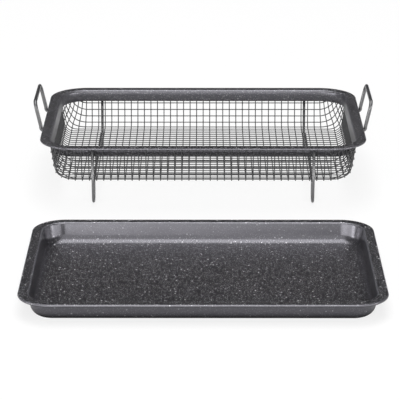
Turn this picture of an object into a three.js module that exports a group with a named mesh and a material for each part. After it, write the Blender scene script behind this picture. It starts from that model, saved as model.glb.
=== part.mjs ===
// Sheet pan with a wire mesh crisper basket, in millimetres, +Z up.
// The origin is the centre of the pan's underside. The basket stands on its own feet behind the pan.

import * as THREE from 'three';

// Sheet pan: one pressed sheet with a curled edge
const PAN_LENGTH = 343;
const PAN_WIDTH = 241;
const PAN_HEIGHT = 20.5;
const PAN_SHEET = 0.9;
const PAN_CORNER = 33; // corner radius of the rim's outer edge, seen from above
const PAN_FLANGE = 10.5; // from the rim's outer edge to the wall
const PAN_DRAFT = 10; // lean of the wall, in degrees
const PAN_COVE = 10; // radius between floor and wall
const PAN_BEND = 1.5; // radius between wall and flange
const PAN_BEAD = 1.3; // outer radius of the curled edge

// Rim frame of the basket: a pressed ring with a curled edge and a skirt inside
const BASKET_LENGTH = 350;
const BASKET_WIDTH = 245;
const BASKET_HEIGHT = 67;
const RIM_SHEET = 0.7;
const RIM_CORNER = 41;
const RIM_FLANGE = 11.5;
const RIM_SKIRT = 12.5; // depth of the skirt below the rim's top
const RIM_BEND = 2.5; // radius between skirt and flange
const RIM_BEAD = 1;

// Mesh of the basket, fixed to the outside of the skirt
const WALL_DRAFT = 9;
const MESH_WIRE = 1.2;
const MESH_BEND = 11; // radius between mesh floor and mesh wall
const MESH_FOOT_ROOM = 24; // height of the mesh floor's underside above the feet
const NET_PITCH = 22.8; // every third wire of the mesh
const NET_STRIP = 1.6; // width of a strip that stands for a wire

// Handles and leg frames: round wire, bent and welded under the rim
const HANDLE_WIRE = 4;
const HANDLE_SPAN = 77; // between the centres of the two posts
const HANDLE_RISE = 27; // grip's centre above the rim's top
const HANDLE_LEAN = 6; // how far the grip leans out from the foot of its posts
const HANDLE_BEND = 8;
const LEG_WIRE = 3;
const LEG_INSET = 57.5; // from an end of the rim to its leg frame
const FOOT_WIDTH = 16; // between the two strands of a foot
const LEG_BEND = 4; // where a foot turns into the wire under the floor

// Places and clearances
const STANDING_GAP = 93; // free table between pan and basket
const WELD_GAP = 0.3; // left between pieces that are welded together

// Fineness of round stretches
const CORNER_STEPS = 8;
const BEND_STEPS = 4;
const CURL_STEPS = 2;
const WIRE_SIDES = 8;
const WIRE_BEND_STEPS = 6;

const COAT = { color: 0x3a3b3e, roughness: 0.45, metalness: 0.3 };
const MESH_COAT = { color: 0x4a4b4e, roughness: 0.5, metalness: 0.35 };
const WIRE_COAT = { color: 0x333437, roughness: 0.4, metalness: 0.35 };

const radians = THREE.MathUtils.degToRad;

// Stations along a line of straight runs with rounded corners, each a point with its direction.
// A corner is { at, radius, steps }, with at a Vector2 or Vector3. The two ends have no radius.
function bentLine(corners) {
  const stations = [];
  const add = (point, direction) => {
    const last = stations.at(-1);
    if (!last || last.point.distanceTo(point) > 1e-4) stations.push({ point, direction });
  };
  corners.forEach(({ at, radius, steps }, i) => {
    const before = corners[i - 1]?.at;
    const after = corners[i + 1]?.at;
    if (!before || !after) {
      const direction = before ? at.clone().sub(before) : after.clone().sub(at);
      add(at, direction.normalize());
      return;
    }
    const back = before.clone().sub(at).normalize();
    const onward = after.clone().sub(at).normalize();
    const half = Math.acos(THREE.MathUtils.clamp(back.dot(onward), -1, 1)) / 2;
    const start = at.clone().addScaledVector(back, radius / Math.tan(half));
    const middle = back.clone().add(onward).normalize();
    const centre = at.clone().addScaledVector(middle, radius / Math.sin(half));
    const spoke = start.clone().sub(centre).divideScalar(radius);
    for (let k = 0; k <= steps; k += 1) {
      const turn = ((Math.PI - 2 * half) * k) / steps;
      const point = centre.clone().addScaledVector(spoke, radius * Math.cos(turn));
      point.addScaledVector(back, -radius * Math.sin(turn));
      const direction = spoke.clone().multiplyScalar(-Math.sin(turn));
      add(point, direction.addScaledVector(back, -Math.cos(turn)));
    }
  });
  return stations;
}

// The half-length and half-width of the rectangle that joins a rounded rectangle's corner centres.
const coreOf = (length, width, corner) => new THREE.Vector2(length / 2 - corner, width / 2 - corner);
const panCore = coreOf(PAN_LENGTH, PAN_WIDTH, PAN_CORNER);
const basketCore = coreOf(BASKET_LENGTH, BASKET_WIDTH, RIM_CORNER);

// A closed rounded rectangle at distance rho outside its core, counter-clockwise from above.
function ringPoints(core, rho, z) {
  const points = [];
  const quarters = [[1, 1], [-1, 1], [-1, -1], [1, -1]];
  quarters.forEach(([sx, sy], quarter) => {
    for (let k = 0; k <= CORNER_STEPS; k += 1) {
      const angle = (quarter + k / CORNER_STEPS) * (Math.PI / 2);
      const x = sx * core.x + rho * Math.cos(angle);
      const y = sy * core.y + rho * Math.sin(angle);
      points.push(new THREE.Vector3(x, y, z));
    }
  });
  return points;
}

function meshFrom(name, geometry, finish) {
  const mesh = new THREE.Mesh(geometry, new THREE.MeshStandardMaterial(finish));
  mesh.name = name;
  return mesh;
}

function geometryFrom(points, index) {
  const geometry = new THREE.BufferGeometry().setFromPoints(points);
  geometry.setIndex(index);
  geometry.computeVertexNormals();
  return geometry;
}

// A sheet of even thickness, pressed around a rounded rectangle: its section is the mid-line's stations
// set off to both sides. With a floor, the section's two inner edges are closed by flat faces.
function pressedSheet(core, stations, thickness, hasFloor) {
  const side = (sign) => stations.map(({ point, direction }) => new THREE.Vector2(
    point.x - (sign * direction.y * thickness) / 2,
    point.y + (sign * direction.x * thickness) / 2,
  ));
  const section = [...side(1), ...side(-1).reverse()];
  const rings = section.map((at) => ringPoints(core, at.x, at.y));
  const count = rings[0].length;
  const index = [];
  const joins = hasFloor ? rings.length - 1 : rings.length;
  for (let ring = 0; ring < joins; ring += 1) {
    const near = ring * count;
    const far = ((ring + 1) % rings.length) * count;
    for (let k = 0; k < count; k += 1) {
      const next = (k + 1) % count;
      index.push(near + k, far + k, far + next, near + k, far + next, near + next);
    }
  }
  if (hasFloor) {
    const underside = (rings.length - 1) * count;
    const faces = THREE.ShapeUtils.triangulateShape(rings[0].map(({ x, y }) => new THREE.Vector2(x, y)), []);
    faces.forEach(([a, b, c]) => {
      index.push(a, b, c, underside + a, underside + c, underside + b);
    });
  }
  return geometryFrom(rings.flat(), index);
}

// Corners of the mid-line of a curled edge, from the flange's outer end round to the end of the curl.
function curlCorners(edge, top, sheet, bead) {
  const radius = bead - sheet / 2;
  const outer = edge - sheet / 2;
  const upper = top - sheet / 2;
  const bend = { radius, steps: CURL_STEPS };
  return [
    { at: new THREE.Vector2(outer, upper), ...bend },
    { at: new THREE.Vector2(outer, upper - 2 * radius), ...bend },
    { at: new THREE.Vector2(outer - 2 * radius, upper - 2 * radius), ...bend },
    { at: new THREE.Vector2(outer - 2 * radius, upper - radius) },
  ];
}

// Distance outside the core of a drafted wall, at height z and set off outwards by a thickness.
const panWall = (z, outwards) => PAN_CORNER - PAN_FLANGE
  - (PAN_HEIGHT - z) * Math.tan(radians(PAN_DRAFT)) + outwards / Math.cos(radians(PAN_DRAFT));
const basketWall = (z, outwards) => RIM_CORNER - RIM_FLANGE
  - (BASKET_HEIGHT - z) * Math.tan(radians(WALL_DRAFT)) + outwards / Math.cos(radians(WALL_DRAFT));

function makePan() {
  const half = PAN_SHEET / 2;
  const top = PAN_HEIGHT - half;
  const [, ...stations] = bentLine([
    { at: new THREE.Vector2(0, half) },
    { at: new THREE.Vector2(panWall(half, half), half), radius: PAN_COVE + half, steps: BEND_STEPS },
    { at: new THREE.Vector2(panWall(top, half), top), radius: PAN_BEND, steps: BEND_STEPS },
    ...curlCorners(PAN_CORNER, PAN_HEIGHT, PAN_SHEET, PAN_BEAD),
  ]);
  return meshFrom('pan_shell', pressedSheet(panCore, stations, PAN_SHEET, true), COAT);
}

function makeRimFrame() {
  const half = RIM_SHEET / 2;
  const top = BASKET_HEIGHT - half;
  const skirtEnd = BASKET_HEIGHT - RIM_SKIRT;
  const stations = bentLine([
    { at: new THREE.Vector2(basketWall(skirtEnd, half), skirtEnd) },
    { at: new THREE.Vector2(basketWall(top, half), top), radius: RIM_BEND, steps: BEND_STEPS },
    ...curlCorners(RIM_CORNER, BASKET_HEIGHT, RIM_SHEET, RIM_BEAD),
  ]);
  return meshFrom('rim_frame', pressedSheet(basketCore, stations, RIM_SHEET, false), COAT);
}

// The mesh is a flat net pressed to a tray. Its section runs level from the core, round a bend and up
// the drafted wall, to end just under the rim.
const MESH_THICKNESS = 2 * MESH_WIRE;
const meshOffset = RIM_SHEET + WELD_GAP + MESH_THICKNESS / 2;
const meshFloor = MESH_FOOT_ROOM + MESH_THICKNESS / 2;
const meshTop = BASKET_HEIGHT - RIM_SHEET - RIM_BEND - WELD_GAP;
const wallAngle = radians(90 - WALL_DRAFT);
const bendEnd = meshFloor + MESH_BEND * (1 - Math.cos(wallAngle));
const floorRun = basketWall(bendEnd, meshOffset) - MESH_BEND * Math.sin(wallAngle);
const wallStart = floorRun + MESH_BEND * wallAngle;
const netReach = wallStart + (meshTop - bendEnd) / Math.sin(wallAngle);

// The point of the pressed net for the point (u, v) of the flat one, on its inner or outer face.
// Beyond the core the net follows the section, straight out from the core's nearest point.
function netPoint(u, v, face) {
  const nearest = new THREE.Vector2(
    THREE.MathUtils.clamp(u, -basketCore.x, basketCore.x),
    THREE.MathUtils.clamp(v, -basketCore.y, basketCore.y),
  );
  const out = new THREE.Vector2(u, v).sub(nearest);
  const run = out.length();
  const lean = THREE.MathUtils.clamp((run - floorRun) / MESH_BEND, 0, wallAngle);
  const climb = Math.max(run - wallStart, 0);
  const shift = (face * MESH_THICKNESS) / 2;
  const level = Math.min(run, floorRun);
  const rho = level + (MESH_BEND + shift) * Math.sin(lean) + climb * Math.cos(wallAngle);
  const z = meshFloor + MESH_BEND - (MESH_BEND + shift) * Math.cos(lean) + climb * Math.sin(wallAngle);
  out.normalize().multiplyScalar(rho).add(nearest);
  return new THREE.Vector3(out.x, out.y, z);
}

// Distances of the strips from the middle, either way, as far as they still cross their neighbours.
function stripPlaces(reach) {
  const last = Math.floor((reach - NET_STRIP) / NET_PITCH);
  return Array.from({ length: 2 * last + 1 }, (_, k) => (k - last) * NET_PITCH);
}

// How far a strip at distance across from the middle line runs before it meets the rim.
function netEnd(across, coreAcross, coreAlong) {
  const beyond = Math.max(Math.abs(across) - coreAcross, 0);
  return coreAlong + Math.sqrt(Math.max(netReach ** 2 - beyond ** 2, 0));
}

function makeMeshBasket() {
  const half = NET_STRIP / 2;
  const columns = stripPlaces(basketCore.x + netReach - NET_PITCH / 2);
  const rows = stripPlaces(basketCore.y + netReach - NET_PITCH / 2);
  const points = [];
  const index = [];
  const known = new Map();
  const vertex = (u, v, face) => {
    const key = `${u.toFixed(4)},${v.toFixed(4)},${face}`;
    if (!known.has(key)) {
      known.set(key, points.length);
      points.push(netPoint(u, v, face));
    }
    return known.get(key);
  };
  const quad = (a, b, c, d) => index.push(a, b, c, a, c, d);
  // One cell of the net, from four flat points in counter-clockwise order, with walls on the sides named.
  const cell = (corners, walls) => {
    const inner = corners.map(([u, v]) => vertex(u, v, -1));
    const outer = corners.map(([u, v]) => vertex(u, v, 1));
    quad(inner[0], inner[1], inner[2], inner[3]);
    quad(outer[3], outer[2], outer[1], outer[0]);
    walls.forEach((k) => {
      const next = (k + 1) % 4;
      quad(inner[k], outer[k], outer[next], inner[next]);
    });
  };
  // Places along a strip where it must bend: through the section's bend, and round a corner where the
  // strip runs beyond the core.
  const bendPlaces = (across, coreAcross, coreAlong) => {
    const beyond = Math.max(Math.abs(across) - coreAcross, 0);
    const runs = Array.from({ length: BEND_STEPS }, (_, k) => floorRun
      + (MESH_BEND * wallAngle * k) / (BEND_STEPS - 1));
    const rises = runs.filter((run) => run > beyond).map((run) => Math.sqrt(run ** 2 - beyond ** 2));
    const turns = Array.from({ length: CORNER_STEPS }, (_, k) => beyond
      * Math.tan((k * Math.PI) / 2 / CORNER_STEPS));
    return [...rises, ...(beyond > 0 ? turns : [])].sort((a, b) => a - b)
      .filter((at, k, all) => k === 0 || at - all[k - 1] > half)
      .map((at) => coreAlong + at);
  };
  const crosses = (u, v) => Math.abs(u) + half < netEnd(Math.abs(v) + half, basketCore.y, basketCore.x) - half;
  // A strip is laid cell by cell between its crossings and out to both of its ends.
  const strip = (across, places, coreAcross, coreAlong, flat, isCrossing) => {
    const met = places.filter((along) => isCrossing(along));
    const bends = bendPlaces(across, coreAcross, coreAlong).flatMap((at) => [-at, at]);
    const endOf = (side) => netEnd(across + side * half, coreAcross, coreAlong);
    const run = (from, to, closing) => {
      const clear = half / 2;
      const inside = bends.filter((at) => at > Math.max(...from) + clear && at < Math.min(...to) - clear);
      const stops = [from, ...inside.sort((a, b) => a - b).map((at) => [at, at]), to];
      for (let k = 0; k + 1 < stops.length; k += 1) {
        const [low, high] = [stops[k], stops[k + 1]];
        const walls = ['left', 'right'];
        if (closing === 'low' && k === 0) walls.push('low');
        if (closing === 'high' && k + 2 === stops.length) walls.push('high');
        flat(across, half, low, high, walls);
      }
    };
    met.slice(1).forEach((along, k) => {
      run([met[k] + half, met[k] + half], [along - half, along - half], 'none');
    });
    const first = met[0] - half;
    const last = met.at(-1) + half;
    run([-endOf(-1), -endOf(1)], [first, first], 'low');
    run([last, last], [endOf(-1), endOf(1)], 'high');
  };
  const columnCell = (u, side, low, high, walls) => {
    const numbers = { low: 0, right: 1, high: 2, left: 3 };
    const corners = [[u - side, low[0]], [u + side, low[1]], [u + side, high[1]], [u - side, high[0]]];
    cell(corners, walls.map((wall) => numbers[wall]));
  };
  const rowCell = (v, side, low, high, walls) => {
    const numbers = { left: 0, high: 1, right: 2, low: 3 };
    const corners = [[low[0], v - side], [high[0], v - side], [high[1], v + side], [low[1], v + side]];
    cell(corners, walls.map((wall) => numbers[wall]));
  };
  columns.forEach((u) => {
    strip(u, rows, basketCore.x, basketCore.y, columnCell, (v) => crosses(u, v));
  });
  rows.forEach((v) => {
    strip(v, columns, basketCore.y, basketCore.x, rowCell, (u) => crosses(u, v));
  });
  columns.forEach((u) => rows.filter((v) => crosses(u, v)).forEach((v) => {
    cell([[u - half, v - half], [u + half, v - half], [u + half, v + half], [u - half, v + half]], []);
  }));
  return meshFrom('mesh_basket', geometryFrom(points, index), MESH_COAT);
}

// A path whose steps fall on given stations, so that straight runs take one step and bends take several.
class BentWire extends THREE.Curve {
  constructor(stations) {
    super();
    this.stations = stations;
  }

  blend(t, key) {
    const place = t * (this.stations.length - 1);
    const low = Math.min(Math.floor(place), this.stations.length - 2);
    return this.stations[low][key].clone().lerp(this.stations[low + 1][key], place - low);
  }

  getPoint(t) {
    return this.blend(t, 'point');
  }

  getPointAt(t) {
    return this.getPoint(t);
  }

  getTangent(t) {
    return this.blend(t, 'direction').normalize();
  }

  getTangentAt(t) {
    return this.getTangent(t);
  }
}

function wireGeometry(corners, diameter) {
  const stations = bentLine(corners.map((corner) => ({ steps: WIRE_BEND_STEPS, ...corner })));
  const section = Array.from({ length: WIRE_SIDES }, (_, k) => {
    const angle = (2 * Math.PI * k) / WIRE_SIDES;
    return new THREE.Vector2(Math.cos(angle), Math.sin(angle)).multiplyScalar(diameter / 2);
  });
  return new THREE.ExtrudeGeometry(new THREE.Shape(section), {
    steps: stations.length - 1,
    extrudePath: new BentWire(stations),
    bevelEnabled: false,
  });
}

// The list of corners of a half, followed by the same corners mirrored across y = 0.
const bothHalves = (corners) => [
  ...corners,
  ...corners.slice().reverse().map(({ at, ...rest }) => ({ at: new THREE.Vector3(at.x, -at.y, at.z), ...rest })),
];

// A handle hooks in under the rim, wraps its curled edge, leans out and crosses to its second post.
function makeHandle(name, sign) {
  const radius = HANDLE_WIRE / 2;
  const hook = RIM_BEAD + WELD_GAP + radius;
  const low = BASKET_HEIGHT - RIM_BEAD - hook;
  const inside = basketCore.x + basketWall(low, meshOffset + MESH_THICKNESS / 2 + WELD_GAP);
  const foot = BASKET_LENGTH / 2 + WELD_GAP + radius;
  const post = -HANDLE_SPAN / 2;
  const corners = bothHalves([
    { at: new THREE.Vector3(sign * inside, post, low) },
    { at: new THREE.Vector3(sign * foot, post, low), radius: hook },
    { at: new THREE.Vector3(sign * foot, post, BASKET_HEIGHT), radius: HANDLE_BEND },
    { at: new THREE.Vector3(sign * (foot + HANDLE_LEAN), post, BASKET_HEIGHT + HANDLE_RISE), radius: HANDLE_BEND },
  ]);
  return meshFrom(name, wireGeometry(corners, HANDLE_WIRE), WIRE_COAT);
}

// A leg frame runs down the outside of the front wall, round a foot, under the mesh floor to the foot at
// the back, and up the back wall.
function makeLegFrame(name, x) {
  const radius = LEG_WIRE / 2;
  const offset = meshOffset + MESH_THICKNESS / 2 + WELD_GAP + radius;
  const top = BASKET_HEIGHT - RIM_SHEET - WELD_GAP - radius * Math.sin(radians(WALL_DRAFT));
  const under = MESH_FOOT_ROOM - WELD_GAP - radius;
  const outer = -(basketCore.y + basketWall(radius, offset));
  const inner = outer + FOOT_WIDTH;
  const corners = bothHalves([
    { at: new THREE.Vector3(x, -(basketCore.y + basketWall(top, offset)), top) },
    { at: new THREE.Vector3(x, outer, radius), radius: FOOT_WIDTH / 2 },
    { at: new THREE.Vector3(x, inner, radius), radius: FOOT_WIDTH / 2 },
    { at: new THREE.Vector3(x, inner, under), radius: LEG_BEND },
  ]);
  return meshFrom(name, wireGeometry(corners, LEG_WIRE), WIRE_COAT);
}

const basket = new THREE.Group();
basket.position.y = PAN_WIDTH / 2 + STANDING_GAP + BASKET_WIDTH / 2;
basket.add(
  makeRimFrame(),
  makeMeshBasket(),
  makeHandle('left_handle', -1),
  makeHandle('right_handle', 1),
  makeLegFrame('left_leg_frame', LEG_INSET - BASKET_LENGTH / 2),
  makeLegFrame('right_leg_frame', BASKET_LENGTH / 2 - LEG_INSET),
);

const panAndBasket = new THREE.Group();
panAndBasket.add(makePan(), basket);

export default panAndBasket;
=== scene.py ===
# %% [markdown]
# # A speckled sheet pan and its crisper basket
# The set is two loose things: a shallow pressed pan, and a wire mesh basket that stands on bent wire
# legs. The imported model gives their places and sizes. It could be dressed as it is, but its mesh holds
# only every third wire and its bends are coarse, so each piece is drawn again here, finer, in the same
# place, and takes over from the plain one.

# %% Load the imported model
import math

import bpy
import numpy as np
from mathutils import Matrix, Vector


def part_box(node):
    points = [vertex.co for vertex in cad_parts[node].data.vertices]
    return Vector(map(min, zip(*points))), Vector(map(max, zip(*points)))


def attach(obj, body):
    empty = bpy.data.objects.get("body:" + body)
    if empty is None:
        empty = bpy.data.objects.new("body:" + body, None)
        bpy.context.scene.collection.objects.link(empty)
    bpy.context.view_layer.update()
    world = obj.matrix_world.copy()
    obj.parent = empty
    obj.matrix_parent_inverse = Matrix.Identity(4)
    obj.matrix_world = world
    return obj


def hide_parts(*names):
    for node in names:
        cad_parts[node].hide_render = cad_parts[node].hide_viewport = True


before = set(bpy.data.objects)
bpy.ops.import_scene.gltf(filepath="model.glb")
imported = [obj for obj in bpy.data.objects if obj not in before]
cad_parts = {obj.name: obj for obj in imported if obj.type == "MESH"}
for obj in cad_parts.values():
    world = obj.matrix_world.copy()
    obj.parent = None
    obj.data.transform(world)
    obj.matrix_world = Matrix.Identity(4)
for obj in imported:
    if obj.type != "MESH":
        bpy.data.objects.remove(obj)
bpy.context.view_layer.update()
MM = 0.001
print("pieces in the frame:", sorted(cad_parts))

# %% [markdown]
# ## Camera
# The set is seen from the front and about twenty degrees above, through a long lens, so that pan and
# basket keep nearly the same scale although one stands behind the other. A camera could be aimed by eye;
# here its place follows from a distance, an elevation and a focal length counted in picture widths.

# %% Camera
CAMERA_DISTANCE = 2.0
CAMERA_ELEVATION = math.radians(20.59)
AIM_ABOVE_PAN = math.radians(2.21)
AIM_LEFT = math.radians(0.091)
FOCAL_WIDTHS = 5.17
SENSOR_WIDTH = 36.0
SIGHT_LIMIT = 50.0

camera_data = bpy.data.cameras.new("camera")
camera_data.sensor_width = SENSOR_WIDTH
camera_data.lens = SENSOR_WIDTH * FOCAL_WIDTHS
camera_data.clip_end = SIGHT_LIMIT
camera = bpy.data.objects.new("camera", camera_data)
bpy.context.scene.collection.objects.link(camera)
camera_back = CAMERA_DISTANCE * math.cos(CAMERA_ELEVATION)
camera_height = CAMERA_DISTANCE * math.sin(CAMERA_ELEVATION)
camera.location = (0.0, -camera_back, camera_height)
camera.rotation_euler = (math.pi / 2 - CAMERA_ELEVATION + AIM_ABOVE_PAN, 0.0, AIM_LEFT)
bpy.context.scene.camera = camera
print("camera at", [round(c, 3) for c in camera.location], "lens", round(camera_data.lens, 1), "mm")

# %% [markdown]
# ## Shader values as expressions
# A finish is a sum of small masks: specks, dust, wear. Adding a Math node by hand for every sum soon
# hides the idea. This class wraps a socket so that `1 - mask` or `a * b` adds its node by itself, and one
# method adds any other node: settings first, then the values or links of its sockets.


# %% A socket that does sums
class Shade:
    """A shader value. Sums and products of shades and numbers add their Math nodes."""

    def __init__(self, socket):
        self.socket = socket

    def add(self, kind, settings=None, inputs=None, output=0):
        """Any other node: its settings, then a value or a link for each named socket."""
        tree = self.socket.id_data
        node = tree.nodes.new(kind)
        for name, value in (settings or {}).items():
            setattr(node, name, value)
        for name, value in (inputs or {}).items():
            if isinstance(value, Shade):
                tree.links.new(value.socket, node.inputs[name])
            else:
                node.inputs[name].default_value = value
        return Shade(node.outputs[output])

    def other(self, output):
        """Another output of the same node."""
        return Shade(self.socket.node.outputs[output])

    def sum(self, operation, first, second):
        """One Math node."""
        return self.add("ShaderNodeMath", {"operation": operation}, {0: first, 1: second})

    def __add__(self, other):
        return self.sum("ADD", self, other)

    def __radd__(self, other):
        return self.sum("ADD", other, self)

    def __sub__(self, other):
        return self.sum("SUBTRACT", self, other)

    def __rsub__(self, other):
        return self.sum("SUBTRACT", other, self)

    def __mul__(self, other):
        return self.sum("MULTIPLY", self, other)

    def __rmul__(self, other):
        return self.sum("MULTIPLY", other, self)

    def clamped(self):
        """This value, kept from 0 to 1."""
        return self.add("ShaderNodeClamp", inputs={"Value": self})

    def mix(self, low, high):
        """The colour low where this mask is 0 and high where it is 1."""
        return self.add("ShaderNodeMix", {"data_type": "RGBA"}, {0: self, 6: low, 7: high}, output=2)


# %% [markdown]
# ## Small helpers for finishes
# Every finish starts from one Principled shader and reads Object coordinates, so that a pattern keeps its
# real size and stays on its piece when the piece moves. UV maps would work too, but pressed corners
# stretch them.


# %% Helpers for finishes
def new_finish(name):
    """A material with one Principled shader: gives the material, the shader and its Object coordinates."""
    material = bpy.data.materials.new(name)
    material.use_nodes = True
    tree = material.node_tree
    shader = tree.nodes["Principled BSDF"]
    place = Shade(tree.nodes.new("ShaderNodeTexCoord").outputs["Object"])
    return material, shader, place


def feed(shader, name, value):
    """Links a shade to one of the shader's sockets."""
    shader.id_data.links.new(value.socket, shader.inputs[name])


def show(material, surface):
    """Lets a mix of shaders make the surface."""
    tree = material.node_tree
    tree.links.new(surface.socket, tree.nodes["Material Output"].inputs["Surface"])


def noise(place, grain, detail=2.0):
    """Soft noise from 0 to 1 with blotches about one grain across, in metres."""
    inputs = {"Vector": place, "Scale": 1.0 / grain, "Detail": detail}
    return place.add("ShaderNodeTexNoise", inputs=inputs, output="Fac")


def marked(place, name):
    """A number that the piece's mesh holds for each of its points."""
    return place.add("ShaderNodeAttribute", {"attribute_name": name}, output="Fac")


def raised(height, strength, depth):
    """A normal tilted by the slopes of a height, whose step from 0 to 1 is as deep as depth in metres."""
    return height.add("ShaderNodeBump", inputs={"Height": height, "Strength": strength, "Distance": depth})


# %% [markdown]
# ## Specks
# The non-stick coat is full of pale specks: fine dust, grains under a millimetre and a few flakes of a
# millimetre or a little more. A painted picture could show them, but would blur up close. Here the specks
# are seeds of Voronoi cells: a cell shows a speck where its seed lies nearer than its own random size.

# %% Specks
# For each kind of speck: the size of its cells, its largest radius and the width of its soft edge.
DUST = (0.5 * MM, 0.15 * MM, 0.04 * MM)
GRAINS = (1.3 * MM, 0.43 * MM, 0.03 * MM)
FLAKES = (5.0 * MM, 0.82 * MM, 0.04 * MM)
GRAIN_SHARE = 0.65
GRAIN_LOSS = 0.9
FLAKE_LOSS = 0.85


def specks(place, cell, radius, edge):
    """Specks from 0 to 1: between half the radius and all of it by chance, less the distance to the cell's
    seed, over a soft edge."""
    inputs = {"Vector": place, "Scale": 1.0 / cell}
    near = place.add("ShaderNodeTexVoronoi", inputs=inputs, output="Distance")
    chance = near.add("ShaderNodeSeparateColor", inputs={"Color": near.other("Color")}, output="Red")
    size = (0.5 + 0.5 * chance) * (radius / cell)
    return ((size - near) * (cell / edge)).clamped()


def pale_specks(place, drawn, flake_share):
    """Grains plus flakes, each times its share, and both fainter the further the sheet was drawn."""
    grains = specks(place, *GRAINS) * GRAIN_SHARE * (1 - GRAIN_LOSS * drawn)
    flakes = specks(place, *FLAKES) * flake_share * (1 - FLAKE_LOSS * drawn)
    return (grains + flakes).clamped()


# %% [markdown]
# ## The coat between the specks
# The coat is charcoal, a little cloudy and dusted with grey. Its bends are paler, partly rubbed and partly a
# painted sheen; the rim's upright skirt is greyed with a painted reflection. One grey would look like
# plastic. Only the shape knows where the sheet was drawn and where it is bent over, so the mesh carries
# both as numbers, and the finish reads them.

# %% Colour of the coat
CHARCOAL = (0.0052, 0.0050, 0.0062, 1.0)
CHARCOAL_WORN = (0.0090, 0.0087, 0.0107, 1.0)
# Grey of dust specks, and also of the painted reflection that greys the rim's upright skirt.
DUST_AND_SHEEN_GREY = (0.10, 0.10, 0.11, 1.0)
# Bends are paler: partly rubbed, partly a painted sheen where the bends catch light.
EDGE_WEAR_AND_SHEEN_GREY = (0.09, 0.09, 0.10, 1.0)
WEAR_AND_SHEEN_GRAIN = 6 * MM
WEAR_AND_SHEEN_LEAST = 0.4
WEAR_AND_SHEEN_MORE = 0.9


def coat_ground(place, cloud, drawn, painted_skirt_sheen):
    """The coat's colour without its pale specks: cloudy, greyed by a painted reflection where drawn, dusted,
    then paler on bends, partly rubbed and partly a painted sheen.
    """
    ground = cloud.mix(CHARCOAL, CHARCOAL_WORN)
    # Steep faces greyed by a painted reflection, as far as the skirt sheen says; only the rim gets it.
    with_skirt_sheen = (drawn * painted_skirt_sheen).mix(ground, DUST_AND_SHEEN_GREY)
    dusted = specks(place, *DUST).mix(with_skirt_sheen, DUST_AND_SHEEN_GREY)
    # Paler on bends: partly rubbed, partly a painted sheen.
    wear_and_sheen = marked(place, "edge") * (WEAR_AND_SHEEN_LEAST + WEAR_AND_SHEEN_MORE * noise(place, WEAR_AND_SHEEN_GRAIN))
    return wear_and_sheen.clamped().mix(dusted, EDGE_WEAR_AND_SHEEN_GREY)


# %% [markdown]
# ## The speckled coat
# The coat is satin with a cool gloss, and a faint orange peel bends its reflections. Faces that look down
# get painted shade: there the shader is mixed with a dark matt one. Two materials could split the faces,
# but a mix fades from one to the other.

# %% Speckled coat
SPECK_PALE = (0.80, 0.79, 0.82, 1.0)
COOL_GLOSS = (0.93, 0.91, 1.0, 1.0)
COAT_IOR = 1.6
FULL_GLOSS = 1.0
CLOUD_GRAIN = 45 * MM
WAVE_GRAIN = 28 * MM
PEEL_GRAIN = 1.6 * MM
ROUGHNESS_SWING = 0.08
PEEL_HEIGHT = 0.5
SPECK_HEIGHT = 0.4
WAVE_HEIGHT = 2.0
COAT_RELIEF = 0.12
COAT_DEPTH = 0.2 * MM
# Painted shade: a dark matt shader mixed in where the sheet looks down, so that undersides, the pan's bottom
# bend and the lower half of each bead read as shaded.
PAINTED_UNDER_SHADE = {"Base Color": (0.004, 0.004, 0.0045, 1.0), "Roughness": 0.9, "Specular IOR Level": 0.0}
PAINTED_UNDER_SHADE_SHARE = 0.85


def speckled_coat(name, roughness, flake_share, painted_skirt_sheen):
    """The sprayed coat of a pressed sheet, with painted shade where the sheet looks down."""
    material, shader, place = new_finish(name)
    drawn = marked(place, "drawn")
    cloud = noise(place, CLOUD_GRAIN, detail=3.0)
    pale = pale_specks(place, drawn, flake_share)
    feed(shader, "Base Color", pale.mix(coat_ground(place, cloud, drawn, painted_skirt_sheen), SPECK_PALE))
    feed(shader, "Roughness", roughness + ROUGHNESS_SWING * (cloud - 0.5) + ROUGHNESS_SWING * pale)
    peel = noise(place, PEEL_GRAIN, detail=1.0)
    wave = noise(place, WAVE_GRAIN, detail=0.0)
    relief = peel * PEEL_HEIGHT + pale * SPECK_HEIGHT + wave * WAVE_HEIGHT
    feed(shader, "Normal", raised(relief, COAT_RELIEF, COAT_DEPTH))
    shader.inputs["IOR"].default_value = COAT_IOR
    shader.inputs["Specular Tint"].default_value = COOL_GLOSS
    shader.inputs["Specular IOR Level"].default_value = FULL_GLOSS
    sprayed = Shade(shader.outputs["BSDF"])
    # Painted shade on faces that look down, as far as the mesh's under mark says.
    painted_shade = place.add("ShaderNodeBsdfPrincipled", inputs=PAINTED_UNDER_SHADE, output="BSDF")
    share = marked(place, "under") * PAINTED_UNDER_SHADE_SHARE
    show(material, sprayed.add("ShaderNodeMixShader", inputs={0: share, 1: sprayed, 2: painted_shade}))
    return material


# painted_skirt_sheen: how far steep faces are greyed with a painted reflection; only the rim's skirt gets
# it.
pan_finish = speckled_coat("pan_finish", roughness=0.30, flake_share=1.0, painted_skirt_sheen=0.0)
rim_finish = speckled_coat("rim_finish", roughness=0.36, flake_share=0.4, painted_skirt_sheen=0.40)
print("made", pan_finish.name, "and", rim_finish.name)

# %% [markdown]
# ## The coat on wire
# Mesh and bent wires carry a dipped coat: no grains or flakes, only soft streaks and a little dust. The
# thick wire of handles and legs is paler and glossier than the mesh. One function makes both, because
# they differ only in colour, in the size of the streaks and in gloss.

# %% Coated wire
WIRE_DUST = (0.8 * MM, 0.16 * MM, 0.08 * MM)
WIRE_DUST_SHARE = 0.5
WIRE_SWING = 0.12
WIRE_PEEL = 0.8 * MM
WIRE_RELIEF = 0.10
WIRE_DEPTH = 0.1 * MM
HALF_GLOSS = 0.5


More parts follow.
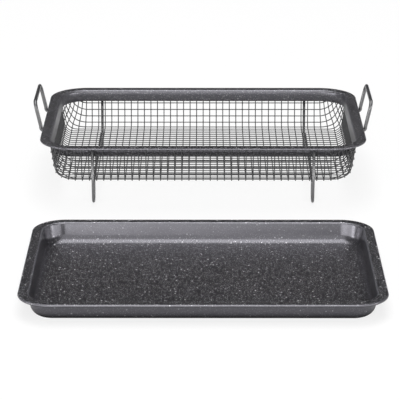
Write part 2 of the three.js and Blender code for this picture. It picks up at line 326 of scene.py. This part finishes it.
def coated_wire(name, dark, pale, streak_grain, roughness, gloss):
    """The dipped coat of a wire: streaks from dark to pale that also swing the roughness, then dust."""
    material, shader, place = new_finish(name)
    streak = noise(place, streak_grain, detail=3.0)
    dust = specks(place, *WIRE_DUST) * WIRE_DUST_SHARE
    feed(shader, "Base Color", dust.mix(streak.mix(dark, pale), DUST_AND_SHEEN_GREY))
    feed(shader, "Roughness", roughness + WIRE_SWING * (streak - 0.5))
    feed(shader, "Normal", raised(noise(place, WIRE_PEEL), WIRE_RELIEF, WIRE_DEPTH))
    shader.inputs["IOR"].default_value = COAT_IOR
    shader.inputs["Specular IOR Level"].default_value = gloss
    return material


mesh_finish = coated_wire("mesh_finish", dark=(0.012, 0.012, 0.0135, 1.0), pale=(0.028, 0.028, 0.030, 1.0),
                          streak_grain=9 * MM, roughness=0.42, gloss=HALF_GLOSS)
wire_finish = coated_wire("wire_finish", dark=(0.030, 0.030, 0.032, 1.0), pale=(0.065, 0.065, 0.069, 1.0),
                          streak_grain=14 * MM, roughness=0.32, gloss=FULL_GLOSS)
print("made", mesh_finish.name, "and", wire_finish.name)

# %% [markdown]
# ## From arrays to pieces
# Every surface below is worked out as whole arrays. Adding points one by one would be slow and long, so
# these helpers put an array of points and an array of four-sided faces into a mesh, with any wide flat
# faces after them, and name the body it rides on and the plain solid that it takes over.


# %% Put arrays into a mesh
def mark(piece, name, values):
    """Stores one number for each point of a piece, for its finish to read."""
    attribute = piece.data.attributes.new(name, "FLOAT", "POINT")
    attribute.data.foreach_set("value", values.astype(np.float32).ravel())


def make_piece(name, points, quads, flats):
    """A mesh of points (n, 3), faces (m, 4) and flat faces (lists of corners), smooth but for the flats."""
    sizes = np.concatenate([np.full(len(quads), 4), [len(flat) for flat in flats]]).astype(np.int32)
    corners = np.concatenate([quads.ravel(), *flats]).astype(np.int32)
    starts = np.concatenate([[0], np.cumsum(sizes)[:-1]]).astype(np.int32)
    mesh = bpy.data.meshes.new(name)
    mesh.vertices.add(len(points))
    mesh.vertices.foreach_set("co", points.astype(np.float32).ravel())
    mesh.loops.add(len(corners))
    mesh.loops.foreach_set("vertex_index", corners)
    mesh.polygons.add(len(sizes))
    mesh.polygons.foreach_set("loop_start", starts)
    mesh.polygons.foreach_set("loop_total", sizes)
    mesh.polygons.foreach_set("use_smooth", np.arange(len(sizes)) < len(quads))
    mesh.update(calc_edges=True)
    piece = bpy.data.objects.new(name, mesh)
    bpy.context.scene.collection.objects.link(piece)
    print(name, "has", int((sizes - 2).sum()), "triangles")
    return piece


def take_over(piece, node, body, material):
    """Dresses a piece, and puts it on its body in the place of a plain solid."""
    piece.data.materials.append(material)
    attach(piece, body)
    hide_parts(node)


def grid_quads(rows, columns, wrap_rows):
    """Faces between neighbours of a grid whose columns close on themselves, and its rows too if asked."""
    row = np.arange(rows if wrap_rows else rows - 1)[:, None]
    column = np.arange(columns)[None, :]
    next_row = (row + 1) % rows
    next_column = (column + 1) % columns
    corners = (row * columns + column, next_row * columns + column,
               next_row * columns + next_column, row * columns + next_column)
    return np.stack(corners, axis=-1).reshape(-1, 4)


# %% [markdown]
# ## Bent lines
# Pressed sheet and bent wire are both lines with rounded corners: straight runs joined by arcs. Curves
# with handles could be drawn, but a bend's radius is what a maker sets, so this function takes corners and
# radii, and gives points along the line with their directions.

# %% Lines with rounded corners
LEAST_STEP = 0.01 * MM


def unit(vector):
    """A vector over its own length."""
    return vector / np.linalg.norm(vector, axis=-1, keepdims=True)


def bent_line(corners, radii, step):
    """Points and directions along straight runs joined by arcs that touch both. An arc's centre lies on the
    line that halves its corner, at the radius over the sine of half the corner's angle, and its points are
    at most a step apart in angle. A point nearer than the least step to the one before is dropped."""
    corners = np.asarray(corners, float)
    points = [corners[0]]
    directions = [unit(corners[1] - corners[0])]
    for before, at, after, radius in zip(corners, corners[1:], corners[2:], radii):
        back = unit(before - at)
        onward = unit(after - at)
        half = math.acos(np.clip(back @ onward, -1, 1)) / 2
        start = at + back * radius / math.tan(half)
        centre = at + unit(back + onward) * radius / math.sin(half)
        count = max(2, math.ceil((math.pi - 2 * half) / step))
        turn = np.linspace(0, math.pi - 2 * half, count + 1)[:, None]
        spoke = (start - centre) / radius
        points.extend(centre + radius * (spoke * np.cos(turn) - back * np.sin(turn)))
        directions.extend(-spoke * np.sin(turn) - back * np.cos(turn))
    points.append(corners[-1])
    directions.append(unit(corners[-1] - corners[-2]))
    points = np.array(points)
    directions = np.array(directions)
    apart = np.linalg.norm(np.diff(points, axis=0), axis=1)
    keep = np.concatenate([[True], apart > LEAST_STEP])
    return points[keep], directions[keep]


# %% [markdown]
# ## Pressed sheet
# Pan and rim frame are sheet pressed around a rounded rectangle. The section is a bent line with the
# sheet's thickness to both sides, and each of its points is carried round the rectangle at a fixed
# distance outside the rectangle that joins the corner centres. Solidify could thicken a single sheet,
# but unevenly in tight bends, so both faces are worked out here.

# %% Sheet carried round a rounded rectangle
CORNER_POINTS = 25
SECTION_STEP = math.radians(9)


def around_rectangle(core_x, core_y):
    """Corner centres and outward directions, counter-clockwise, for points all round a rounded rectangle."""
    angle = np.linspace(0, math.pi / 2, CORNER_POINTS) + np.arange(4)[:, None] * math.pi / 2
    signs = np.array([[1, 1], [-1, 1], [-1, -1], [1, -1]])
    centres = np.repeat(signs * [core_x, core_y], CORNER_POINTS, axis=0)
    directions = np.stack([np.cos(angle), np.sin(angle)], axis=-1).reshape(-1, 2)
    return centres, directions


def pressed_sheet(line, directions, thickness, core, middle_y):
    """Rings of points: the section's line set off by half the thickness along its normal, to both sides,
    then each point carried round the core at its own distance and height."""
    normal = np.stack([-directions[:, 1], directions[:, 0]], axis=-1)
    section = np.concatenate([line + normal * thickness / 2, (line - normal * thickness / 2)[::-1]])
    centres, out = around_rectangle(*core)
    flat = centres[None] + out[None] * section[:, None, :1]
    height = np.broadcast_to(section[:, None, 1:], flat.shape[:2] + (1,))
    points = np.concatenate([flat, height], axis=-1)
    points[..., 1] += middle_y
    return points


# %% [markdown]
# ## What the coat reads off the sheet
# How steep the sheet is, where it is bent over and where it looks down all follow from its section.
# They could be painted on by hand, but would then miss when a size changes.

# %% Numbers for the coat
DOWN_START = 0.30
DOWN_FULL = 0.70


def drawn_share(rings):
    """How far the sheet was drawn at each point: its steepness, from 0 where level to 1 where upright."""
    return np.abs(unit(np.gradient(rings, axis=0))[..., 2])


def worn_and_sheen_edge(rings, above):
    """Where the sheet is bent over, to be paler there, partly rubbed and partly a painted sheen: 1 where it
    slopes half, 0 where level or upright, and 0 below a height."""
    slope = drawn_share(rings)
    return 4 * slope * (1 - slope) * (rings[..., 2] > above)


def looking_down(rings, directions):
    """How far each ring of a sheet looks down: 0 up to a slope, then rising to 1 at a steeper one. The upper
    face looks up as far as the section's line runs outwards, and the under face looks the other way."""
    upper = directions[:, 0]
    upwards = np.concatenate([upper, -upper[::-1]])
    share = np.clip((-upwards - DOWN_START) / (DOWN_FULL - DOWN_START), 0, 1)
    return np.broadcast_to(share[:, None], rings.shape[:2])


# %% [markdown]
# ## Curled edges and leaning walls
# Both pressed pieces end in a curl, which hides the cut edge and stiffens the sheet, and both have walls
# that lean out, so that they come off the press. A tube laid along the edge would look alike from above,
# but from below the curl is open, so the sheet itself is rolled in.


# %% Curl and wall
def curl(edge, top, sheet, bead):
    """Corners and bend radii of a curled edge's mid-line, from the flange round three quarter turns."""
    radius = bead - sheet / 2
    outer = edge - sheet / 2
    upper = top - sheet / 2
    corners = [(outer, upper), (outer, upper - 2 * radius), (outer - 2 * radius, upper - 2 * radius),
               (outer - 2 * radius, upper - radius)]
    return corners, [radius] * 3


def wall(top_out, top, draft, z, outwards):
    """Distance of a leaning wall outside the core at height z, set off outwards by a thickness."""
    return top_out - (top - z) * math.tan(draft) + outwards / math.cos(draft)


# %% [markdown]
# ## The pan
# One sheet: flat floor, cove, drafted wall, flange and curled edge. A block with a pocket would do from
# afar, but the sheet shows its thin edge and its curl. The floor's last ring lies a little inside the
# cove, so that smooth shading of the cove doesn't spill over the flat floor.

# %% Pan
PAN_SHEET = 0.9 * MM
PAN_CORNER = 33 * MM
PAN_FLANGE = 10.5 * MM
PAN_DRAFT = math.radians(10)
PAN_COVE = 10 * MM
PAN_BEND = 1.5 * MM
PAN_BEAD = 1.3 * MM
FLOOR_MARGIN = 1.5 * MM

_, pan_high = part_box("pan_shell")
pan_core = (pan_high.x - PAN_CORNER, pan_high.y - PAN_CORNER)
pan_top = pan_high.z
pan_wall_out = PAN_CORNER - PAN_FLANGE


def make_pan():
    """The pan's section, from the floor round the cove, up the wall, out along the flange and round the
    curl, carried round the pan's core. Flat faces close the floor above and below."""
    half = PAN_SHEET / 2
    upper = pan_top - half
    cove = (wall(pan_wall_out, pan_top, PAN_DRAFT, half, half), half)
    shoulder = (wall(pan_wall_out, pan_top, PAN_DRAFT, upper, half), upper)
    curl_corners, curl_radii = curl(PAN_CORNER, pan_top, PAN_SHEET, PAN_BEAD)
    line, directions = bent_line([(0.0, half), cove, shoulder, *curl_corners],
                                 [PAN_COVE + half, PAN_BEND, *curl_radii], SECTION_STEP)
    line[0, 0] = line[1, 0] - FLOOR_MARGIN
    rings = pressed_sheet(line, directions, PAN_SHEET, pan_core, 0.0)
    count = rings.shape[1]
    quads = grid_quads(len(rings), count, wrap_rows=False)
    floor = np.arange(count)
    underside = (len(rings) - 1) * count + np.arange(count)[::-1]
    piece = make_piece("pan", rings.reshape(-1, 3), quads, [floor, underside])
    mark(piece, "drawn", drawn_share(rings))
    # edge: where the sheet is bent over, paler there, partly rubbed and partly a painted sheen.
    mark(piece, "edge", worn_and_sheen_edge(rings, pan_top / 2))
    # under: how far each face looks down, where the finish mixes in painted shade.
    mark(piece, "under", looking_down(rings, directions))
    return piece


take_over(make_pan(), "pan_shell", "pan", pan_finish)

# %% [markdown]
# ## The rim frame of the basket
# A pressed ring: curled edge outside, flange, and a skirt that leans in with the mesh. It could be cut
# from the pan, but its sheet is thinner and its bends are rounder. It is the pan's section without a
# floor, so its section closes on itself.

# %% Rim frame
RIM_SHEET = 0.7 * MM
RIM_CORNER = 41 * MM
RIM_FLANGE = 11.5 * MM
RIM_SKIRT = 12.5 * MM
RIM_BEND = 2.5 * MM
RIM_BEAD = 1.0 * MM
WALL_DRAFT = math.radians(9)
# RIM_DRAWN also scales the painted reflection that greys the rim's upright skirt.
RIM_DRAWN = 0.6
RIM_WEAR_AND_SHEEN = 0.3

rim_low, rim_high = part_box("rim_frame")
basket_y = (rim_low.y + rim_high.y) / 2
basket_core = (rim_high.x - RIM_CORNER, rim_high.y - basket_y - RIM_CORNER)
rim_top = rim_high.z
rim_wall_out = RIM_CORNER - RIM_FLANGE


def basket_wall(z, outwards):
    """Distance of the basket's leaning wall outside its core at height z, set off outwards."""
    return wall(rim_wall_out, rim_top, WALL_DRAFT, z, outwards)


def make_rim_frame():
    """The rim's section, from the skirt's lower edge up, out along the flange and round the curl, carried
    round the basket's core."""
    half = RIM_SHEET / 2
    upper = rim_top - half
    skirt_end = rim_top - RIM_SKIRT
    curl_corners, curl_radii = curl(RIM_CORNER, rim_top, RIM_SHEET, RIM_BEAD)
    corners = [(basket_wall(skirt_end, half), skirt_end), (basket_wall(upper, half), upper), *curl_corners]
    line, directions = bent_line(corners, [RIM_BEND, *curl_radii], SECTION_STEP)
    rings = pressed_sheet(line, directions, RIM_SHEET, basket_core, basket_y)
    quads = grid_quads(len(rings), rings.shape[1], wrap_rows=True)
    piece = make_piece("rim", rings.reshape(-1, 3), quads, [])
    mark(piece, "drawn", RIM_DRAWN * drawn_share(rings))
    # edge: where the sheet is bent over, paler there, partly rubbed and partly a painted sheen.
    mark(piece, "edge", RIM_WEAR_AND_SHEEN * worn_and_sheen_edge(rings, skirt_end))
    # under: how far each face looks down, where the finish mixes in painted shade.
    mark(piece, "under", looking_down(rings, directions))
    return piece


take_over(make_rim_frame(), "rim_frame", "basket", rim_finish)

# %% [markdown]
# ## Round wire
# A wire is a ring of points carried along a line. Bevelled curves make wires too, one by one. Here many
# wires of one kind are worked out together: the array has one row for each wire, one column for each
# place along it, and one layer for each side.


# %% Rings along many lines
def wire_rings(paths, up, radius, sides):
    """Rings round paths (wires, places, 3): a circle in the plane square to the path's direction, with
    up, made square to the path, as one axis of the circle."""
    along = unit(np.gradient(paths, axis=1))
    across = unit(np.cross(along, up))
    upright = np.cross(across, along)
    angle = np.arange(sides) * 2 * math.pi / sides
    circle = (across[:, :, None] * np.cos(angle)[:, None] + upright[:, :, None] * np.sin(angle)[:, None])
    return paths[:, :, None] + circle * radius


def wire_faces(wires, places, sides):
    """Side faces of all wires, and the two flat ends of each."""
    one = grid_quads(places, sides, wrap_rows=False)
    quads = (one[None] + (np.arange(wires) * places * sides)[:, None, None]).reshape(-1, 4)
    first = np.arange(wires)[:, None] * places * sides + np.arange(sides)
    last = first[:, ::-1] + (places - 1) * sides
    return quads, [*first, *last]


# %% [markdown]
# ## Sizes of the mesh
# A flat mesh of two layers of straight wire, welded where they cross, is pressed to a tray with a round
# bend between floor and walls. Its heights could be typed in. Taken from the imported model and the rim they
# stay true when a size changes: the walls lean like the rim's skirt and end under the flange.

# %% Sizes of the mesh
MESH_WIRE = 1.1 * MM
MESH_PITCH = 7.6 * MM
MESH_BEND = 11 * MM
WELD_DEPTH = 0.1 * MM
LONG_WIRE_SHIFT = 1.2 * MM
JOIN_GAP = 0.3 * MM
MESH_THICKNESS = 2 * MESH_WIRE - WELD_DEPTH

mesh_low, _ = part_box("mesh_basket")
mesh_offset = RIM_SHEET + JOIN_GAP + MESH_THICKNESS / 2
mesh_floor = mesh_low.z + MESH_THICKNESS / 2
wall_angle = math.pi / 2 - WALL_DRAFT
bend_end = mesh_floor + MESH_BEND * (1 - math.cos(wall_angle))
floor_run = basket_wall(bend_end, mesh_offset) - MESH_BEND * math.sin(wall_angle)
wall_start = floor_run + MESH_BEND * wall_angle
mesh_top = rim_top - RIM_SHEET - RIM_BEND - JOIN_GAP
mesh_reach = wall_start + (mesh_top - bend_end) / math.sin(wall_angle)
print("mesh from", round(mesh_low.z / MM, 1), "to", round(mesh_top / MM, 1), "mm high")

# %% [markdown]
# ## Pressing the flat net
# The wires stay straight on floor and walls but crowd into narrow diamonds at the corners, where the flat
# net has too much length. Cloth simulation could press it. Here the pressing is one function of the flat
# place: straight out from the core, along the section of floor, bend and wall.

# %% Pressed net
# Over the core the run is nothing, which can't be divided by, so it counts as this at least.
LEAST_RUN = 1e-9


def pressed_net(u, v, lift):
    """Place of the flat net's point (u, v) in the tray, set off along the outward normal by lift, and that
    normal. The distance run beyond the core becomes level floor, then an arc, then a leaning wall."""
    core_x, core_y = basket_core
    near = np.stack([np.clip(u, -core_x, core_x), np.clip(v, -core_y, core_y)], axis=-1)
    beyond = np.stack([u, v], axis=-1) - near
    run = np.linalg.norm(beyond, axis=-1)
    out = beyond / np.maximum(run, LEAST_RUN)[..., None]
    lean = np.clip((run - floor_run) / MESH_BEND, 0, wall_angle)
    climb = np.maximum(run - wall_start, 0)
    distance = np.minimum(run, floor_run) + (MESH_BEND + lift) * np.sin(lean) + climb * math.cos(wall_angle)
    height = mesh_floor + MESH_BEND - (MESH_BEND + lift) * np.cos(lean) + climb * math.sin(wall_angle)
    flat = near + out * distance[..., None] + [0.0, basket_y]
    normal = np.concatenate([out * np.sin(lean)[..., None], -np.cos(lean)[..., None]], axis=-1)
    return np.concatenate([flat, height[..., None]], axis=-1), normal


# %% [markdown]
# ## The mesh wires
# Each wire is a straight line of the flat net. The cross wires lie outside and the long wires inside,
# touching where they are welded. The long wires sit a little off the middle, because a net is cut from a
# roll and its wires seldom meet the middle of the tray. An Array modifier could repeat one wire, but near
# the corners no two neighbours bend alike.

# %% Mesh wires
MESH_SIDES = 8
PLACES_PER_PITCH = 3


def net_lines(core_across, core_along, shift):
    """Places across the net for one set of wires, a pitch apart, and places along each, evenly out to where
    it meets the rim: there a right triangle has the net's reach as its long side."""
    last = math.floor((core_across + mesh_reach - MESH_PITCH / 2) / MESH_PITCH)
    across = np.arange(-last, last + 1) * MESH_PITCH + shift
    beyond = np.maximum(np.abs(across) - core_across, 0)
    end = core_along + np.sqrt(mesh_reach ** 2 - beyond ** 2)
    places = 2 * math.ceil((core_along + mesh_reach) / MESH_PITCH * PLACES_PER_PITCH) + 1
    along = end[:, None] * np.linspace(-1, 1, places)
    return np.broadcast_to(across[:, None], along.shape), along


def make_mesh_wires(name, paths, normal):
    """One layer of the mesh: a small ring carried along every path, with the net's normal as one axis."""
    rings = wire_rings(paths, normal, MESH_WIRE / 2, MESH_SIDES)
    quads, ends = wire_faces(*rings.shape[:3])
    wires = make_piece(name, rings.reshape(-1, 3), quads, ends)
    take_over(wires, "mesh_basket", "basket", mesh_finish)


layer_lift = (MESH_WIRE - WELD_DEPTH) / 2
cross_u, cross_v = net_lines(basket_core[0], basket_core[1], 0.0)
make_mesh_wires("mesh_cross_wires", *pressed_net(cross_u, cross_v, layer_lift))
long_v, long_u = net_lines(basket_core[1], basket_core[0], LONG_WIRE_SHIFT)
make_mesh_wires("mesh_long_wires", *pressed_net(long_u, long_v, -layer_lift))

# %% [markdown]
# ## Bent wire
# Handles and leg frames are each one length of round wire, bent alike at front and back. A curve object
# could carry them, but a line of arcs and straights gives the true bends. The ring of points must not spin
# as it follows the bends, so its side direction is carried along the line.

# %% Bent wire
WIRE_SIDES = 24
WIRE_STEP = math.radians(7)
ODD_DIRECTION = (0.3, 0.5, 0.81)


def both_halves(corners):
    """Corners of one half, then the same mirrored front to back about the basket's middle, backwards."""
    half = np.array(corners)
    return np.concatenate([half, (half * [1, -1, 1])[::-1]])


def steady_side(directions):
    """A side direction that turns as little as it can along a bent line: each is the last one, less its
    share along the new direction. The first is square to an odd direction that no wire starts along."""
    side = np.cross(directions[0], ODD_DIRECTION)
    sides = []
    for direction in directions:
        side = unit(side - direction * (side @ direction))
        sides.append(side)
    return np.array(sides)


def make_bent_wire(name, node, corners, radii, diameter):
    """One wire from the corners of its front half: a ring carried along the bent line of both halves."""
    line, directions = bent_line(both_halves(corners), [*radii, *radii[::-1]], WIRE_STEP)
    line = line + [0.0, basket_y, 0.0]
    rings = wire_rings(line[None], steady_side(directions)[None], diameter / 2, WIRE_SIDES)
    quads, ends = wire_faces(*rings.shape[:3])
    piece = make_piece(name, rings.reshape(-1, 3), quads, ends)
    take_over(piece, node, "basket", wire_finish)


# %% [markdown]
# ## Handles
# A handle's ends turn in under the curled edge, where they are welded, wrap the edge from outside and
# rise to the grip, which leans out to leave room for fingers. Corners could be typed in for one size of
# basket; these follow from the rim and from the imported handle's box.

# %% Handles
HANDLE_WIRE = 4.0 * MM
HANDLE_BEND = 8 * MM


def make_handle(name, node):
    """The front half's corners: the end under the rim, the hook's turn outside the edge, the foot of the
    post at the rim's height, and the grip's corner, half a wire inside the box."""
    low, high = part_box(node)
    sign = math.copysign(1.0, low.x)
    radius = HANDLE_WIRE / 2
    hook = RIM_BEAD + JOIN_GAP + radius
    under = rim_top - RIM_BEAD - hook
    inside = basket_core[0] + basket_wall(under, mesh_offset + MESH_THICKNESS / 2 + JOIN_GAP)
    foot = rim_high.x + JOIN_GAP + radius
    grip = max(abs(low.x), abs(high.x)) - radius
    post = low.y + radius - basket_y
    corners = [(sign * inside, post, under), (sign * foot, post, under), (sign * foot, post, rim_top),
               (sign * grip, post, high.z - radius)]
    make_bent_wire(name, node, corners, [hook, HANDLE_BEND, HANDLE_BEND], HANDLE_WIRE)


for side_name in ("left", "right"):
    make_handle(f"{side_name}_handle_wire", f"{side_name}_handle")

# %% [markdown]
# ## Leg frames
# A leg frame runs down the front mesh wall, round a foot, under the floor, round the second foot and up
# the back wall. Four separate legs would be simpler, but the crossbar is what carries the floor.

# %% Leg frames
LEG_WIRE = 3.0 * MM
FOOT_WIDTH = 16 * MM
LEG_BEND = 4 * MM


def make_leg_frame(name, node):
    """The front half's corners: the top under the flange, the foot's outer and inner corners on the table,
    and the turn into the crossbar under the mesh floor. The foot's radius is half its width."""
    low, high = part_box(node)
    x = (low.x + high.x) / 2
    radius = LEG_WIRE / 2
    offset = mesh_offset + MESH_THICKNESS / 2 + JOIN_GAP + radius
    top = rim_top - RIM_SHEET - JOIN_GAP - radius * math.sin(WALL_DRAFT)
    outer = -(basket_core[1] + basket_wall(radius, offset))
    inner = outer + FOOT_WIDTH
    corners = [(x, -(basket_core[1] + basket_wall(top, offset)), top), (x, outer, radius),
               (x, inner, radius), (x, inner, mesh_low.z - JOIN_GAP - radius)]
    make_bent_wire(name, node, corners, [FOOT_WIDTH / 2, FOOT_WIDTH / 2, LEG_BEND], LEG_WIRE)


for side_name in ("left", "right"):
    make_leg_frame(f"{side_name}_leg_wire", f"{side_name}_leg_frame")

# %% [markdown]
# ## Floor
# The set stands on a plain white floor that runs on past the picture. A bright lamp could bleach a grey
# floor, but would bleach the object too. So the floor is matt white that holds shadows, thinned with
# plain white for what the eye sees of it and, much less, for what the coat mirrors of it.

# %% Floor
FLOOR_RADIUS = 9.0
FLOOR_SIDES = 96
FLOOR_WHITE = (0.93, 0.93, 0.93, 1.0)
PLAIN_WHITE = (1.0, 1.0, 1.0, 1.0)
FLOOR_LIFT = 0.80
MIRRORED_LIFT = 0.12


def make_floor_finish():
    """Matt white, mixed with plain white by the kind of ray that meets it."""
    material, shader, place = new_finish("floor_white")
    shader.inputs["Base Color"].default_value = FLOOR_WHITE
    shader.inputs["Roughness"].default_value = 1.0
    shader.inputs["Specular IOR Level"].default_value = 0.0
    seen = place.add("ShaderNodeLightPath", output="Is Camera Ray")
    mirrored = (seen.other("Is Glossy Ray") + seen.other("Is Transmission Ray")).clamped()
    share = (seen * FLOOR_LIFT + mirrored * MIRRORED_LIFT).clamped()
    matt = Shade(shader.outputs["BSDF"])
    white = matt.add("ShaderNodeEmission", inputs={"Color": PLAIN_WHITE, "Strength": 1.0})
    show(material, matt.add("ShaderNodeMixShader", inputs={0: share, 1: matt, 2: white}))
    return material


def make_floor():
    """A wide level disc: points at equal angles on a circle."""
    angle = np.linspace(0, 2 * math.pi, FLOOR_SIDES, endpoint=False)
    ring = np.stack([np.cos(angle), np.sin(angle), np.zeros_like(angle)], axis=-1) * FLOOR_RADIUS
    mesh = bpy.data.meshes.new("floor")
    mesh.from_pydata(ring.tolist(), [], [list(range(len(ring)))])
    mesh.materials.append(make_floor_finish())
    floor = bpy.data.objects.new("floor", mesh)
    bpy.context.scene.collection.objects.link(floor)
    print("floor of", FLOOR_RADIUS, "m radius")


make_floor()

# %% [markdown]
# ## Lamps
# A glossy dark coat shows mostly what it mirrors. The top lamp shows on the coves and bends, the high
# front lamp on the upper half of the beads, and the low lamps and cards stand in a row round the front,
# where the back wall and the corners mirror them. One lamp would light the set, but leave these black.

# %% Lamps
SET_MIDDLE = (0.0, 0.15, 0.03)
LOW_LAMP_HEIGHT = 0.35
LOW_LAMP_TALL = 0.7


def soft_lamp(name, place, target, size, watts):
    """A rectangular area lamp at a place, turned to face a target."""
    data = bpy.data.lights.new(name, "AREA")
    data.shape = "RECTANGLE"
    data.size, data.size_y = size
    data.energy = watts
    lamp = bpy.data.objects.new(name, data)
    bpy.context.scene.collection.objects.link(lamp)
    lamp.visible_camera = False
    lamp.location = place
    lamp.rotation_euler = (Vector(target) - Vector(place)).to_track_quat("-Z", "Y").to_euler()
    print(name, "gives", watts, "W")


def low_lamp(name, x, y, width, watts):
    """A lamp of the low row, which all have one height and face the set's middle."""
    soft_lamp(name, (x, y, LOW_LAMP_HEIGHT), SET_MIDDLE, (width, LOW_LAMP_TALL), watts)


soft_lamp("top_lamp", place=(0.0, 0.5, 3.8), target=(0.0, 0.5, 0.0), size=(2.4, 4.6), watts=138)
soft_lamp("high_front_lamp", place=(0.0, -3.0, 2.3), target=SET_MIDDLE, size=(3.6, 3.2), watts=48)
low_lamp("low_front_lamp", x=-1.2, y=-3.4, width=2.5, watts=44)
low_lamp("left_card", x=-2.6, y=-1.9, width=1.8, watts=22)
low_lamp("right_card", x=2.2, y=-2.3, width=2.2, watts=26)
low_lamp("left_lamp", x=-2.5, y=-0.7, width=0.6, watts=20)
low_lamp("right_lamp", x=2.5, y=-0.7, width=0.6, watts=17)

# %% [markdown]
# ## World
# A world of one grey would do, but a studio is brighter in front, where the lamps and their cards stand,
# and the level surfaces, which mirror the back, stay dark. The gradient runs from back to front along the
# direction of the sky.

# %% World
SKY_BACK = (0.02, 0.02, 0.02, 1.0)
SKY_FRONT = (0.30, 0.30, 0.30, 1.0)


def make_world():
    """A sky whose grey goes from back to front with half of one minus its depth."""
    world = bpy.data.worlds.new("studio")
    world.use_nodes = True
    bpy.context.scene.world = world
    nodes = world.node_tree.nodes
    sky = Shade(nodes.new("ShaderNodeTexCoord").outputs["Generated"])
    depth = sky.add("ShaderNodeSeparateXYZ", inputs={"Vector": sky}, output="Y")
    front = (0.5 - 0.5 * depth).clamped()
    feed(nodes["Background"], "Color", front.mix(SKY_BACK, SKY_FRONT))
    nodes["Background"].inputs["Strength"].default_value = 1.0
    print("made the", world.name)


make_world()
bpy.context.scene.view_settings.view_transform = "Standard"
